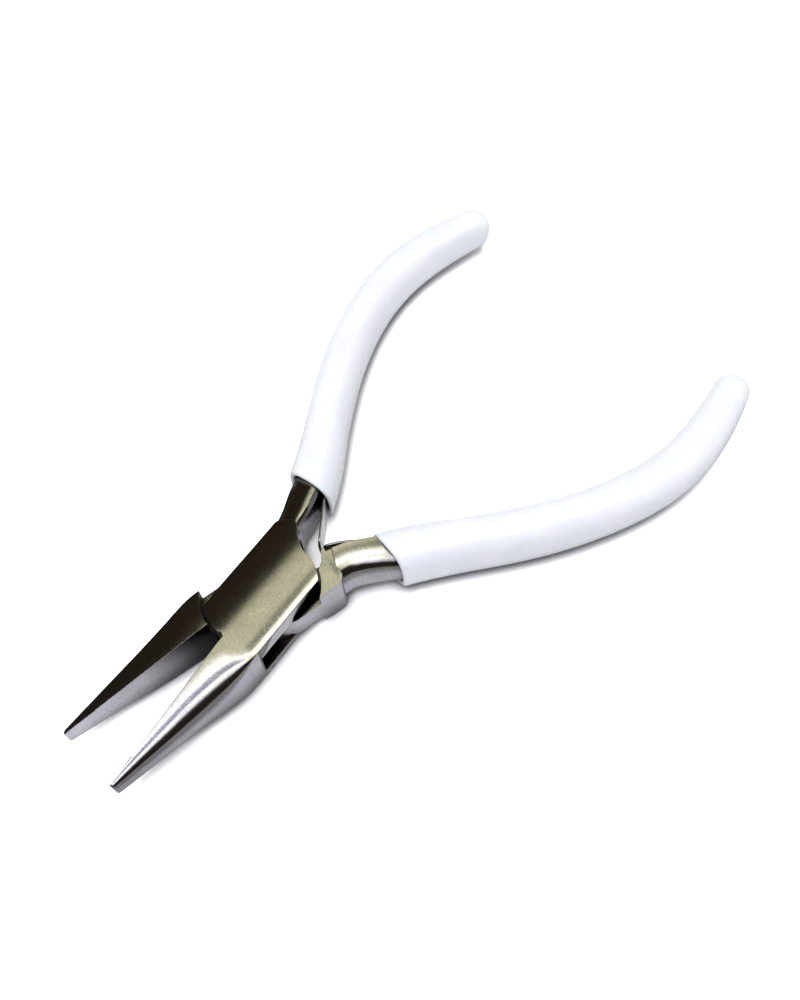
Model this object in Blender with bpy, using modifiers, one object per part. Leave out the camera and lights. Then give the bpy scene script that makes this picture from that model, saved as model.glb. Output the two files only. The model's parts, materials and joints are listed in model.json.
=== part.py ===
"""Box-joint jewellery pliers with half-round jaws, two leaf springs and dipped grips.

Run with: blender --background --python part.py

Frame: the origin is on the pivot's axis, at the centre of the joint's underside. +X points to the
jaw tips, +Z is up through the joint. The pliers stand in their sprung-open rest pose. Each half is
drawn in its own closed-pose frame, where the jaws meet on the plane y = 0 and the joint's
mid-plane is z = 0, and hangs under an empty on the pivot's axis that turns it open.
"""
import math

import bmesh
import bpy
import numpy as np
from mathutils import Vector

MM = 0.001

# driving dimensions, in millimetres and degrees
REST_HALF_ANGLE = 8.56        # each half's turn from the closed pose
MID_HEIGHT = 4.5              # joint mid-plane above the joint's underside
JAW_LENGTH = 35.7             # pivot axis to jaw tip
JAW_GAP = 0.1                 # each jaw's inner face to the closing plane
BOX_HALF_WIDTH = 6.0
BOX_HALF_HEIGHT = 4.5

PIN_RADIUS = 2.3
PIN_CLEARANCE = 0.05
SLOT_LOW = -2.95              # the slot that the tongue runs through
SLOT_HIGH = 1.4
TONGUE_CLEARANCE = 0.15
TONGUE_RADIUS = 6.0
TONGUE_ARM_WIDTH = 6.4        # pivot axis to the arm's outer side
SHOULDER_LOW = -4.35          # the full-thickness block behind the tongue's arm
SHOULDER_HIGH = 3.7
SLOT_WALL_RADIUS = 10.6
PLATE_FRONT_RADIUS = 9.8      # plate edge beside the inner half's jaw
PLATE_REAR_RADIUS = 8.15      # plate edge beside the inner half's shank
JAW_SHOULDER_RADIUS = 10.15
SHANK_SHOULDER_RADIUS = 8.5

HANDLE_LENGTH = 69.2          # grip mouth to grip end, along its centreline
HANDLE_HEADINGS = (21.4, 27.5, 20.1, 6.7, -15.4, -26.8)   # bow of the handle, at equal steps
MOUTH_X = -18.95
MOUTH_Y = 6.96
GRIP_HALF_WIDTHS = (3.6, 3.5, 3.45, 3.6, 2.9)       # at equal steps along the handle
GRIP_HALF_HEIGHTS = (4.7, 4.9, 4.55, 3.9, 3.3)
GRIP_EXPONENT = 2.8
GRIP_WALL = 0.9               # dipped coating over the tang, its gap included
GRIP_GAP = 0.3
GRIP_MOUTH_X = -18.3          # the dip line, square to the pliers' length
SPRING_BULGE = 0.85           # extra coating over the spring's root
SPRING_BULGE_LENGTH = 14.0
TANG_END = 60.0               # length of tang inside the grip

LEAF_THICK = 0.45
LEAF_HALF_HEIGHT = 2.1
LEAF_GAP = 0.15               # leaf to tang, and leaf to coating
LEAF_TAB_END = 4.8            # length of the leaf's root inside the grip
OUTER_BLADE = ((-17.85, -2.95), (-15.3, -1.3), (-13.4, -0.15), (-11.2, 1.25))
INNER_BLADE = ((-17.85, 2.9), (-15.9, 1.15), (-13.85, -0.15), (-11.3, -1.35))
RIVET_AT = 2.6                # rivet's distance behind the grip's mouth
RIVET_RADIUS = 0.7
RIVET_CLEARANCE = 0.12
RIVET_HEAD_RADIUS = 1.15
RIVET_HEAD_THICK = 0.3
RIVET_DEPTH = 2.4             # shaft length inside the tang

# the forged blank along X: half-width, then height and section exponent above the mid-plane, then
# depth and section exponent below it
BLANK_STATIONS = (
    (-13.0, 6.0, 4.5, 9.0, 4.5, 9.0), (-6.0, 6.0, 4.5, 9.0, 4.5, 9.0),
    (6.0, 6.0, 4.5, 9.0, 4.5, 9.0), (9.0, 6.0, 4.5, 8.0, 4.5, 9.0),
    (10.2, 6.0, 4.46, 6.0, 4.48, 8.0), (11.4, 6.0, 4.38, 4.4, 4.46, 7.0),
    (13.0, 5.95, 4.17, 3.4, 4.4, 6.0), (15.0, 5.7, 3.9, 2.8, 4.28, 5.0),
    (17.5, 5.25, 3.54, 2.45, 4.05, 4.2), (21.0, 4.5, 3.06, 2.25, 3.68, 3.5),
    (25.0, 3.6, 2.51, 2.15, 3.25, 3.3), (30.0, 2.4, 1.83, 2.1, 2.75, 3.4),
    (34.2, 1.38, 1.25, 2.05, 2.35, 3.8), (35.2, 1.1, 1.1, 2.05, 2.2, 3.8),
    (JAW_LENGTH, 0.85, 0.88, 2.05, 2.0, 3.8),
)


def remove_all():
    for thing in list(bpy.data.objects):
        bpy.data.objects.remove(thing, do_unlink=True)


def collection(name):
    made = bpy.data.collections.new(name)
    bpy.context.scene.collection.children.link(made)
    return made


remove_all()
PLIERS = collection("jewellery_pliers")
CUTTERS = collection("pliers_cutters")


def material(name, colour, roughness, metallic):
    made = bpy.data.materials.new(name)
    made.use_nodes = True
    shader = made.node_tree.nodes["Principled BSDF"]
    shader.inputs["Base Color"].default_value = (*colour, 1.0)
    shader.inputs["Roughness"].default_value = roughness
    shader.inputs["Metallic"].default_value = metallic
    made.diffuse_color = (*colour, 1.0)
    return made


STEEL_OUTER = material("steel_outer", (0.60, 0.58, 0.52), 0.32, 1.0)
STEEL_INNER = material("steel_inner", (0.56, 0.55, 0.52), 0.32, 1.0)
STEEL_PIN = material("steel_pin", (0.58, 0.57, 0.52), 0.35, 1.0)
STEEL_SPRING = material("spring_steel", (0.72, 0.72, 0.74), 0.25, 1.0)
STEEL_RIVET = material("rivet_steel", (0.50, 0.50, 0.50), 0.35, 1.0)
PVC = material("white_pvc", (0.93, 0.93, 0.95), 0.22, 0.0)


def new_object(name, mesh, home=None):
    made = bpy.data.objects.new(name, mesh)
    (home or PLIERS).objects.link(made)
    return made


def as_cutter(thing):
    for home in list(thing.users_collection):
        home.objects.unlink(thing)
    CUTTERS.objects.link(thing)
    thing.hide_render = True
    thing.display_type = "WIRE"
    return thing


def loft(name, rings):
    """A closed solid through rings of equal point counts, given in millimetres."""
    form = bmesh.new()
    loops = [[form.verts.new([c * MM for c in point]) for point in ring] for ring in rings]
    count = len(loops[0])
    for low, high in zip(loops, loops[1:]):
        for i in range(count):
            j = (i + 1) % count
            form.faces.new((low[i], low[j], high[j], high[i]))
    form.faces.new(loops[0])
    form.faces.new(loops[-1])
    bmesh.ops.recalc_face_normals(form, faces=form.faces)
    mesh = bpy.data.meshes.new(name)
    form.to_mesh(mesh)
    form.free()
    return new_object(name, mesh)


def prism(name, outline, low, high):
    """A flat outline in the XY plane, extruded from low to high, through a filled 2D curve."""
    curve = bpy.data.curves.new(name, "CURVE")
    curve.dimensions = "2D"
    curve.fill_mode = "BOTH"
    curve.extrude = (high - low) / 2 * MM
    spline = curve.splines.new("POLY")
    spline.points.add(len(outline) - 1)
    for point, (x, y) in zip(spline.points, outline):
        point.co = (x * MM, y * MM, 0.0, 1.0)
    spline.use_cyclic_u = True
    guide = new_object(name + "_outline", curve)
    bpy.context.view_layer.update()
    evaluated = guide.evaluated_get(bpy.context.evaluated_depsgraph_get())
    mesh = bpy.data.meshes.new_from_object(evaluated)
    bpy.data.objects.remove(guide, do_unlink=True)
    form = bmesh.new()
    form.from_mesh(mesh)
    bmesh.ops.remove_doubles(form, verts=form.verts, dist=0.000002)
    bmesh.ops.translate(form, verts=form.verts, vec=(0.0, 0.0, (low + high) / 2 * MM))
    bmesh.ops.recalc_face_normals(form, faces=form.faces)
    form.to_mesh(mesh)
    form.free()
    return new_object(name, mesh)


def turned(name, profile, steps=24):
    """A turned piece from (radius, height) points that run down its outer side."""
    mesh = bpy.data.meshes.new(name)
    points = [(radius * MM, 0.0, height * MM) for radius, height in profile]
    mesh.from_pydata(points, [(i, i + 1) for i in range(len(points) - 1)], [])
    made = new_object(name, mesh)
    turn = made.modifiers.new("turn", "SCREW")
    turn.axis = "Z"
    turn.steps = steps
    turn.render_steps = steps
    turn.use_merge_vertices = True
    turn.merge_threshold = 0.000001
    return made


def cylinder(name, radius, low, high, segments=64):
    form = bmesh.new()
    bmesh.ops.create_cone(
        form, cap_ends=True, segments=segments, radius1=radius * MM, radius2=radius * MM,
        depth=(high - low) * MM)
    bmesh.ops.translate(form, verts=form.verts, vec=(0.0, 0.0, (low + high) / 2 * MM))
    mesh = bpy.data.meshes.new(name)
    form.to_mesh(mesh)
    form.free()
    return new_object(name, mesh)


def boolean(body, operation, other):
    """Apply one exact Boolean to body. A difference or intersection keeps other as a cutter."""
    step = body.modifiers.new(operation.lower(), "BOOLEAN")
    step.operation = operation
    step.solver = "EXACT"
    step.object = other
    bpy.context.view_layer.update()
    evaluated = body.evaluated_get(bpy.context.evaluated_depsgraph_get())
    mesh = bpy.data.meshes.new_from_object(evaluated)
    body.modifiers.remove(step)
    body.data = mesh
    if operation == "UNION":
        bpy.data.objects.remove(other, do_unlink=True)
    else:
        as_cutter(other)


def arc(radius, start, end, steps):
    """Points about the pivot's axis, from one angle to another in degrees."""
    angles = np.radians(np.linspace(start, end, steps + 1))
    return [(radius * math.cos(a), radius * math.sin(a)) for a in angles]


def smooth_through(values, at):
    """A Catmull-Rom curve through equally spaced values, read at parameters from 0 to 1."""
    knots = np.asarray(values, float)
    place = np.clip(np.asarray(at, float), 0.0, 1.0) * (len(knots) - 1)
    first = np.minimum(place.astype(int), len(knots) - 2)
    t = place - first
    padded = np.concatenate(([2 * knots[0] - knots[1]], knots, [2 * knots[-1] - knots[-2]]))
    a, b, c, d = (padded[first + i] for i in range(4))
    return 0.5 * (2 * b + (c - a) * t + (2 * a - 5 * b + 4 * c - d) * t ** 2
                  + (3 * b - a - 3 * c + d) * t ** 3)


def superellipse(half_width, half_height, exponent, count):
    """Points of a superellipse, as (across, up) pairs."""
    points = []
    for i in range(count):
        angle = 2 * math.pi * (i + 0.5) / count
        c = math.cos(angle)
        s = math.sin(angle)
        across = math.copysign(abs(c) ** (2 / exponent), c) * half_width
        up = math.copysign(abs(s) ** (2 / exponent), s) * half_height
        points.append((across, up))
    return points


def forged_section(half_width, half_height, inner_exponent, lean, count=24):
    """A shank's section: rounded on its outer side, squarer and leaning on its inner side."""
    points = []
    for i in range(count):
        angle = 2 * math.pi * (i + 0.5) / count
        c = math.cos(angle)
        s = math.sin(angle)
        exponent = 2.5 if c > 0 else inner_exponent
        across = math.copysign(abs(c) ** (2 / exponent), c) * half_width
        up = math.copysign(abs(s) ** (2 / exponent), s) * half_height
        shift = lean * up / half_height if c < 0 else 0.0
        points.append((across + shift, up))
    return points


def handle_line(lengths):
    """Centreline points and headings at lengths behind the grip's mouth, bowed out to +Y."""
    steps = np.linspace(0.0, HANDLE_LENGTH, 201)
    headings = np.radians(smooth_through(HANDLE_HEADINGS, steps / HANDLE_LENGTH))
    stride = steps[1] - steps[0]
    run_x = np.concatenate(([0.0], np.cumsum(np.cos(headings[1:]) + np.cos(headings[:-1])) / 2))
    run_y = np.concatenate(([0.0], np.cumsum(np.sin(headings[1:]) + np.sin(headings[:-1])) / 2))
    ahead = np.minimum(lengths, 0.0)
    x = MOUTH_X - np.interp(lengths, steps, run_x * stride) - ahead * np.cos(headings[0])
    y = MOUTH_Y + np.interp(lengths, steps, run_y * stride) + ahead * np.sin(headings[0])
    return list(zip(x, y, np.interp(lengths, steps, headings)))


def place_section(section, x, y, heading, side):
    """Set an (across, up) section square to a line that runs back along -X, bowed to one side."""
    ring = []
    for across, up in section:
        px = x + across * math.sin(heading)
        py = y + across * math.cos(heading)
        ring.append((px, py * side, up))
    return ring


# ---------------------------------------------------------------- shared forms
def forged_blank(name):
    """Both jaws and the joint block as one closed form, from which each half is cut."""
    rings = []
    for x, half_width, height, exponent, depth, under_exponent in BLANK_STATIONS:
        section = [point for point in superellipse(half_width, height, exponent, 40) if point[1] > 0]
        section += [point for point in superellipse(half_width, depth, under_exponent, 40)
                    if point[1] < 0]
        rings.append([(x, across, up) for across, up in section])
    return loft(name, rings)


def shank_and_tang(name, side, lead_in, lean):
    """The shank from inside the joint to the grip's mouth, and the tang on through the grip."""
    rings = []
    for x, y, heading, half_width, half_height, inner_exponent in lead_in:
        section = forged_section(half_width, half_height, inner_exponent, lean)
        rings.append(place_section(section, x, y, math.radians(heading), side))
    inside = np.linspace(1.0, TANG_END, 12)
    for length, (x, y, heading) in zip(inside, handle_line(inside)):
        share = length / HANDLE_LENGTH
        narrow = float(smooth_through(GRIP_HALF_WIDTHS, share)) - GRIP_WALL
        low = float(smooth_through(GRIP_HALF_HEIGHTS, share)) - GRIP_WALL
        section = superellipse(narrow, low, GRIP_EXPONENT, 24)
        rings.append(place_section(section, x, y, heading, side))
    return loft(name, rings)


def spring_bulge(length):
    """How far the coating stands out over the spring's root, fading to nothing behind it."""
    t = min(1.0, max(0.0, length / SPRING_BULGE_LENGTH))
    return SPRING_BULGE * (1 - t * t * (3 - 2 * t))


def grip_form(name, side):
    """The dipped sleeve's outer form, from ahead of its mouth to its round end."""
    rings = []
    end_radius = GRIP_HALF_WIDTHS[-1]
    body = np.linspace(-4.0, HANDLE_LENGTH - end_radius, 24)
    nose = HANDLE_LENGTH - end_radius * (1 - np.sin(np.radians((25, 45, 62, 75, 84))))
    lengths = [*body, *nose]
    for length, (x, y, heading) in zip(lengths, handle_line(lengths)):
        share = length / HANDLE_LENGTH
        past = max(0.0, (length - (HANDLE_LENGTH - end_radius)) / end_radius)
        round_off = math.sqrt(1 - past ** 2)
        wide = float(smooth_through(GRIP_HALF_WIDTHS, share)) * round_off
        tall = float(smooth_through(GRIP_HALF_HEIGHTS, share)) * round_off
        inner_wide = (wide + spring_bulge(length)) / wide
        section = superellipse(wide, tall, GRIP_EXPONENT, 28)
        section = [(across * inner_wide if across < 0 else across, up) for across, up in section]
        rings.append(place_section(section, x, y, heading, side))
    return loft(name, rings)


def tang_cavity(name, side):
    """The space that the tang and its gap take inside the sleeve."""
    lengths = np.concatenate((np.linspace(-5.0, TANG_END, 15), [TANG_END + GRIP_GAP]))
    rings = []
    for length, (x, y, heading) in zip(lengths, handle_line(lengths)):
        share = length / HANDLE_LENGTH
        wide = float(smooth_through(GRIP_HALF_WIDTHS, share)) - GRIP_WALL + GRIP_GAP
        tall = float(smooth_through(GRIP_HALF_HEIGHTS, share)) - GRIP_WALL + GRIP_GAP
        section = superellipse(wide, tall, GRIP_EXPONENT, 24)
        rings.append(place_section(section, x, y, heading, side))
    return loft(name, rings)


def tang_half_width(length):
    return float(smooth_through(GRIP_HALF_WIDTHS, length / HANDLE_LENGTH)) - GRIP_WALL


def beside_tang(length, inward, side):
    """A point at a length behind the mouth and a distance inward of the handle's centreline."""
    x, y, heading = handle_line([length])[0]
    return (x - inward * math.sin(heading), (y - inward * math.cos(heading)) * side)


def strip_outline(centre, thick):
    """The outline of a thin strip about a centreline, as one closed ring of points."""
    line = np.asarray(centre, float)
    along = np.gradient(line, axis=0)
    along /= np.linalg.norm(along, axis=1)[:, None]
    square = np.stack((-along[:, 1], along[:, 0]), 1) * thick / 2
    return [tuple(p) for p in np.concatenate((line + square, (line - square)[::-1]))]


def leaf_tab(name, side):
    """The leaf spring's root, lying on the tang's inner side under the coating."""
    seat = tang_half_width(RIVET_AT) + LEAF_GAP + LEAF_THICK / 2
    centre = [beside_tang(length, seat, side) for length in np.linspace(-0.75, LEAF_TAB_END, 6)]
    tab = prism(name, strip_outline(centre, LEAF_THICK), -LEAF_HALF_HEIGHT, LEAF_HALF_HEIGHT)
    boolean(tab, "DIFFERENCE", rivet_hole(name + "_hole", side))
    return tab


def leaf_blade(name, points):
    """The leaf spring's free blade, a smooth strip through a few points."""
    places = np.linspace(0, 1, 10)
    xs = smooth_through([x for x, _ in points], places)
    ys = smooth_through([y for _, y in points], places)
    return prism(name, strip_outline(list(zip(xs, ys)), LEAF_THICK),
                 -LEAF_HALF_HEIGHT, LEAF_HALF_HEIGHT)


def aim_inward(thing, side):
    """Put a turned piece's axis square to the tang, its origin on the handle's centreline."""
    x, y, heading = handle_line([RIVET_AT])[0]
    inward = Vector((-math.sin(heading), -math.cos(heading) * side, 0.0))
    thing.location = (x * MM, y * side * MM, 0.0)
    thing.rotation_mode = "QUATERNION"
    thing.rotation_quaternion = inward.to_track_quat("Z", "Y")


def rivet_hole(name, side):
    """The rivet's blind hole in the tang, which also passes through the leaf."""
    low = tang_half_width(RIVET_AT) - RIVET_DEPTH - RIVET_CLEARANCE
    radius = RIVET_RADIUS + RIVET_CLEARANCE
    hole = turned(name, ((0, 6.0), (radius, 6.0), (radius, low), (0, low)))
    aim_inward(hole, side)
    return hole


def spring_rivet(name, side):
    seat = tang_half_width(RIVET_AT) + 2 * LEAF_GAP + LEAF_THICK
    low = tang_half_width(RIVET_AT) - RIVET_DEPTH
    top = seat + RIVET_HEAD_THICK
    profile = ((0, top), (RIVET_HEAD_RADIUS * 0.6, top), (RIVET_HEAD_RADIUS, top - 0.12),
               (RIVET_HEAD_RADIUS, seat), (RIVET_RADIUS, seat), (RIVET_RADIUS, low), (0, low))
    made = turned(name, profile)
    aim_inward(made, side)
    made.data.materials.append(STEEL_RIVET)
    return made


def spring_pocket(name, side, reach, start, end, half_height):
    """Room in the sleeve for the leaf's root, or for the rivet's head."""
    lengths = np.linspace(start, end, 6)
    near = [beside_tang(length, 1.0, side) for length in lengths]
    far = [beside_tang(length, reach, side) for length in lengths[::-1]]
    return prism(name, near + far, -half_height, half_height)


def dipped_grip(name, side):
    body = grip_form(name, side)
    ahead = ((GRIP_MOUTH_X, -20), (10, -20), (10, 20), (GRIP_MOUTH_X, 20))
    boolean(body, "DIFFERENCE", prism(name + "_dip_line", ahead, -8, 8))
    boolean(body, "DIFFERENCE", tang_cavity(name + "_tang_room", side))
    leaf_reach = tang_half_width(RIVET_AT) + LEAF_THICK + 2 * LEAF_GAP
    room = spring_pocket(name + "_leaf_room", side, leaf_reach, -3.0, LEAF_TAB_END + 0.3,
                         LEAF_HALF_HEIGHT + 0.2)
    boolean(body, "DIFFERENCE", room)
    head_reach = leaf_reach + RIVET_HEAD_THICK + LEAF_GAP
    head_room = spring_pocket(name + "_head_room", side, head_reach, RIVET_AT - 1.45,
                              RIVET_AT + 1.45, RIVET_HEAD_RADIUS + 0.3)
    boolean(body, "DIFFERENCE", head_room)
    body.data.materials.clear()
    body.data.materials.append(PVC)
    return body


# ---------------------------------------------------------------- outer half
# x, distance from the closing plane, heading, half-width, half-height and inner exponent
OUTER_LEAD_IN = (
    (-6.5, 3.8, 6, 2.1, 4.0, 6), (-10.5, 4.45, 12, 2.35, 4.1, 6), (-13.0, 5.1, 15, 2.45, 4.15, 6),
    (-16.0, 6.05, 20, 2.6, 4.0, 4), (-18.0, 6.65, 21.4, 2.65, 3.8, 2.8),
)
INNER_LEAD_IN = (
    (-6.0, 3.25, 2, 2.9, 4.0, 6), (-10.0, 3.35, 4, 2.75, 4.1, 6), (-12.6, 3.75, 14, 2.55, 4.15, 6),
    (-15.5, 4.95, 22, 2.55, 4.0, 4), (-18.0, 6.45, 21.4, 2.65, 3.8, 2.8),
)


def plate_relief(name, low, high):
    """Where one plate thins towards its rear corner, above or below the passing arm."""
    outline = ((1.3, low), (0.2, low + (high - low) * 0.42), (-2.5, low + (high - low) * 0.72),
               (-6.5, high), (-10.5, high), (-10.5, low))
    made = prism(name, outline, -3.0, 3.0)
    for vertex in made.data.vertices:
        x, z, y = vertex.co
        vertex.co = (x, y + 6.7 * MM, z)
    made.data.flip_normals()
    return made


def outer_half():
    body = forged_blank("outer_half")
    corner = math.degrees(math.asin(BOX_HALF_WIDTH / PLATE_FRONT_RADIUS))
    jaw_side = arc(PLATE_FRONT_RADIUS, -corner - 6, -0.6, 14)
    jaw_side += [(PLATE_FRONT_RADIUS, JAW_GAP), (JAW_LENGTH + 2, JAW_GAP), (JAW_LENGTH + 2, -9.0)]
    jaw_side += [(7.0, -9.0)]
    boolean(body, "DIFFERENCE", prism("cut_beside_jaw", jaw_side, -6, 6))
    rear = arc(PLATE_REAR_RADIUS, 128, 173, 12)
    rear += [(-9.5, -1.2), (-11.6, -3.2), (-11.2, -4.3), (-10.6, -5.3), (-9.6, -6.3)]
    rear += [(-15.0, -7.0), (-15.0, 8.0), (-5.0, 8.0)]
    boolean(body, "DIFFERENCE", prism("cut_plate_rear", rear, -6, 6))
    boolean(body, "UNION", shank_and_tang("outer_shank", -1, OUTER_LEAD_IN, -0.5))
    wall = math.degrees(math.asin(BOX_HALF_WIDTH / SLOT_WALL_RADIUS)) + 4
    slot = arc(SLOT_WALL_RADIUS, 0.3, wall, 8) + [(8.0, 9.0), (-16.0, 9.0), (-16.0, 0.1)]
    slot += arc(SLOT_WALL_RADIUS, 180.3, 180 + wall, 8) + [(-8.0, -9.0), (16.0, -9.0), (16.0, 0.0)]
    boolean(body, "DIFFERENCE", prism("cut_slot", slot, SLOT_LOW, SLOT_HIGH))
    boolean(body, "DIFFERENCE", plate_relief("cut_relief_above", SLOT_HIGH - 0.2, 3.95))
    boolean(body, "DIFFERENCE", plate_relief("cut_relief_below", SLOT_LOW + 0.2, -3.95))
    boolean(body, "DIFFERENCE", cylinder("cut_bore_outer", PIN_RADIUS + PIN_CLEARANCE, -6, 6))
    room = ((-17.9, -3.6), (-16.0, -3.35), (-13.5, -2.85), (-11.0, -2.1), (-10.2, -1.8),
            (-10.2, 3.0), (-17.9, 3.0))
    boolean(body, "DIFFERENCE", prism("cut_blade_room", room, -2.4, 2.4))
    boolean(body, "DIFFERENCE", rivet_hole("cut_rivet_outer", -1))
    body.data.materials.clear()
    body.data.materials.append(STEEL_OUTER)
    return body


# ---------------------------------------------------------------- inner half
def tongue():
    low = SLOT_LOW + TONGUE_CLEARANCE
    high = SLOT_HIGH - TONGUE_CLEARANCE
    outline = [(12.5, -0.4), (TONGUE_RADIUS, -0.4)]
    outline += arc(TONGUE_RADIUS, 0, 88, 14)
    outline += [(-1.0, TONGUE_ARM_WIDTH), (-7.0, TONGUE_ARM_WIDTH), (-10.5, TONGUE_ARM_WIDTH - 1.0)]
    outline += [(-10.5, 0.7), (-TONGUE_RADIUS, 0.3)]
    outline += arc(TONGUE_RADIUS, 181, 270, 14)
    outline += [(8.0, -BOX_HALF_WIDTH), (12.5, -BOX_HALF_WIDTH + 0.4)]
    return prism("tongue", outline, low, high)


def inner_half():
    body = forged_blank("inner_half")
    corner = math.degrees(math.asin(BOX_HALF_WIDTH / JAW_SHOULDER_RADIUS))
    jaw = arc(JAW_SHOULDER_RADIUS, -corner - 6, -0.6, 14)
    jaw += [(JAW_SHOULDER_RADIUS, -JAW_GAP), (JAW_LENGTH + 2, -JAW_GAP), (JAW_LENGTH + 2, -9.0)]
    jaw += [(7.0, -9.0)]
    boolean(body, "INTERSECT", prism("keep_jaw", jaw, -6, 6))
    shank = shank_and_tang("inner_shank", 1, INNER_LEAD_IN, 0.0)
    block = ((-4.0, TONGUE_ARM_WIDTH - 0.05), (-9.3, TONGUE_ARM_WIDTH - 0.05), (-10.0, 6.1),
             (-10.6, 5.3), (-10.8, 0.1), (-4.0, -0.1))
    facet = ((-9.1, 7.0), (-11.5, 1.6), (-12.4, -1.0), (-4.0, -3.0), (-4.0, 8.0))
    boolean(shank, "DIFFERENCE", prism("cut_facet", facet, SHOULDER_HIGH - 0.01, 6))
    boolean(shank, "UNION", prism("shoulder_block", block, SHOULDER_LOW, SHOULDER_HIGH))
    round_clear = arc(SHANK_SHOULDER_RADIUS, 100, 162, 18)
    round_clear += [(-9.3, 1.6), (-10.6, -0.4), (-10.6, -9.0), (0.0, -9.0), (0.0, 9.0)]
    boolean(shank, "DIFFERENCE", prism("cut_shank_shoulder", round_clear, -6, 6))
    boolean(body, "UNION", tongue())
    boolean(body, "UNION", shank)
    boolean(body, "DIFFERENCE", cylinder("cut_bore_inner", PIN_RADIUS + PIN_CLEARANCE, -6, 6))
    boolean(body, "DIFFERENCE", rivet_hole("cut_rivet_inner", 1))
    body.data.materials.clear()
    body.data.materials.append(STEEL_INNER)
    return body


def show_smooth(thing, angle=35.0):
    thing.data.shade_smooth()
    thing.data.set_sharp_from_angle(angle=math.radians(angle))


# ---------------------------------------------------------------- assembly
def half_frame(name, turn):
    made = bpy.data.objects.new(name, None)
    made.location = (0.0, 0.0, MID_HEIGHT * MM)
    made.rotation_euler = (0.0, 0.0, math.radians(turn))
    made.empty_display_size = 0.01
    PLIERS.objects.link(made)
    return made


def main():
    outer_frame = half_frame("outer_half_frame", REST_HALF_ANGLE)
    inner_frame = half_frame("inner_half_frame", -REST_HALF_ANGLE)

    outer = outer_half()
    outer.parent = outer_frame
    inner = inner_half()
    inner.parent = inner_frame

    pin = cylinder("pivot_pin", PIN_RADIUS, -BOX_HALF_HEIGHT, BOX_HALF_HEIGHT)
    pin.data.materials.append(STEEL_PIN)
    pin.parent = outer_frame

    grips = [dipped_grip("grip_outer", -1), dipped_grip("grip_inner", 1)]
    tabs = [leaf_tab("spring_root_outer", -1), leaf_tab("spring_root_inner", 1)]
    rivets = [spring_rivet("spring_rivet_outer", -1), spring_rivet("spring_rivet_inner", 1)]
    blades = [leaf_blade("spring_blade_outer", OUTER_BLADE),
              leaf_blade("spring_blade_inner", INNER_BLADE)]
    for leaf in (*tabs, *blades):
        leaf.data.materials.clear()
        leaf.data.materials.append(STEEL_SPRING)
    for on_outer, on_inner in (grips, tabs, rivets, blades):
        on_outer.parent = outer_frame
        on_inner.parent = inner_frame

    for thing in (outer, inner, pin, *grips):
        show_smooth(thing)


main()
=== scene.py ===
"""Looks for box-joint jewellery pliers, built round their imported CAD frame.

Each steel half, its dipped grip and its leaf spring are modelled again here at full detail, in the
half's own closed-pose frame: origin on the pivot's axis, +X to the jaw tip, the closing plane at
y = 0 and the joint's mid-plane at z = 0, in millimetres. The pieces are then turned open with the
half's frame and ride on its body.
"""

import json
import math

import bmesh
import bpy
import numpy as np
from mathutils import Matrix, Vector


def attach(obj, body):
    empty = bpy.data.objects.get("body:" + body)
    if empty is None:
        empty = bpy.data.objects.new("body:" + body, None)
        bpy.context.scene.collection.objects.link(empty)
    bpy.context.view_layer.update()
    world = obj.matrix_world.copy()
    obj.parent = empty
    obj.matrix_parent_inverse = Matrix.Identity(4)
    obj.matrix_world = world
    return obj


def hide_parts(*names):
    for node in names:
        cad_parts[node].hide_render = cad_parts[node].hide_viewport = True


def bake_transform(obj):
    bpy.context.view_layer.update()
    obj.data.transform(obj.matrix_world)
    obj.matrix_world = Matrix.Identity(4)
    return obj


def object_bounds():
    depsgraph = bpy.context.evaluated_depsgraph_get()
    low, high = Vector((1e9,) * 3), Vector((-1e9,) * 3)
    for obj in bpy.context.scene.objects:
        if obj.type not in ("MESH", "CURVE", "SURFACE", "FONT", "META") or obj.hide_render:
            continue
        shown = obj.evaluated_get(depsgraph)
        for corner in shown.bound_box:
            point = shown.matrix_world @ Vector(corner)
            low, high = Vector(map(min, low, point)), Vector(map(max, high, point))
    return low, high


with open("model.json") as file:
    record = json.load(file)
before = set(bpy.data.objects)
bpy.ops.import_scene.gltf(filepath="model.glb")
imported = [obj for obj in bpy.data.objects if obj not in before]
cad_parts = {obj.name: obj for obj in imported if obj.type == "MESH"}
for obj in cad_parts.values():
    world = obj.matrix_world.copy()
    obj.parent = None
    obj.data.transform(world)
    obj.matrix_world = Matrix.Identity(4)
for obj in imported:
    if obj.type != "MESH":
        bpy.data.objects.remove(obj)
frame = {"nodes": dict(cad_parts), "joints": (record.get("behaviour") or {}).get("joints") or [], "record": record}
CAD_LOW, CAD_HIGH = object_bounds()

MM = 0.001
RECORD = frame["record"]
JOINTS = {joint["name"]: joint for joint in frame["joints"]}
MOUNTS = {mount["name"]: mount for mount in RECORD["mounts"]}
PIVOT = Vector(JOINTS["pivot"]["pos_m"])
JAW_NORMAL = MOUNTS["outer_jaw_face"]["axis"]
REST_HALF_ANGLE = math.atan2(JAW_NORMAL[0], -JAW_NORMAL[1])
HALF_FRAMES = {
    "outer": Matrix.Translation(PIVOT) @ Matrix.Rotation(REST_HALF_ANGLE, 4, "Z"),
    "inner": Matrix.Translation(PIVOT) @ Matrix.Rotation(-REST_HALF_ANGLE, 4, "Z"),
}

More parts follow.
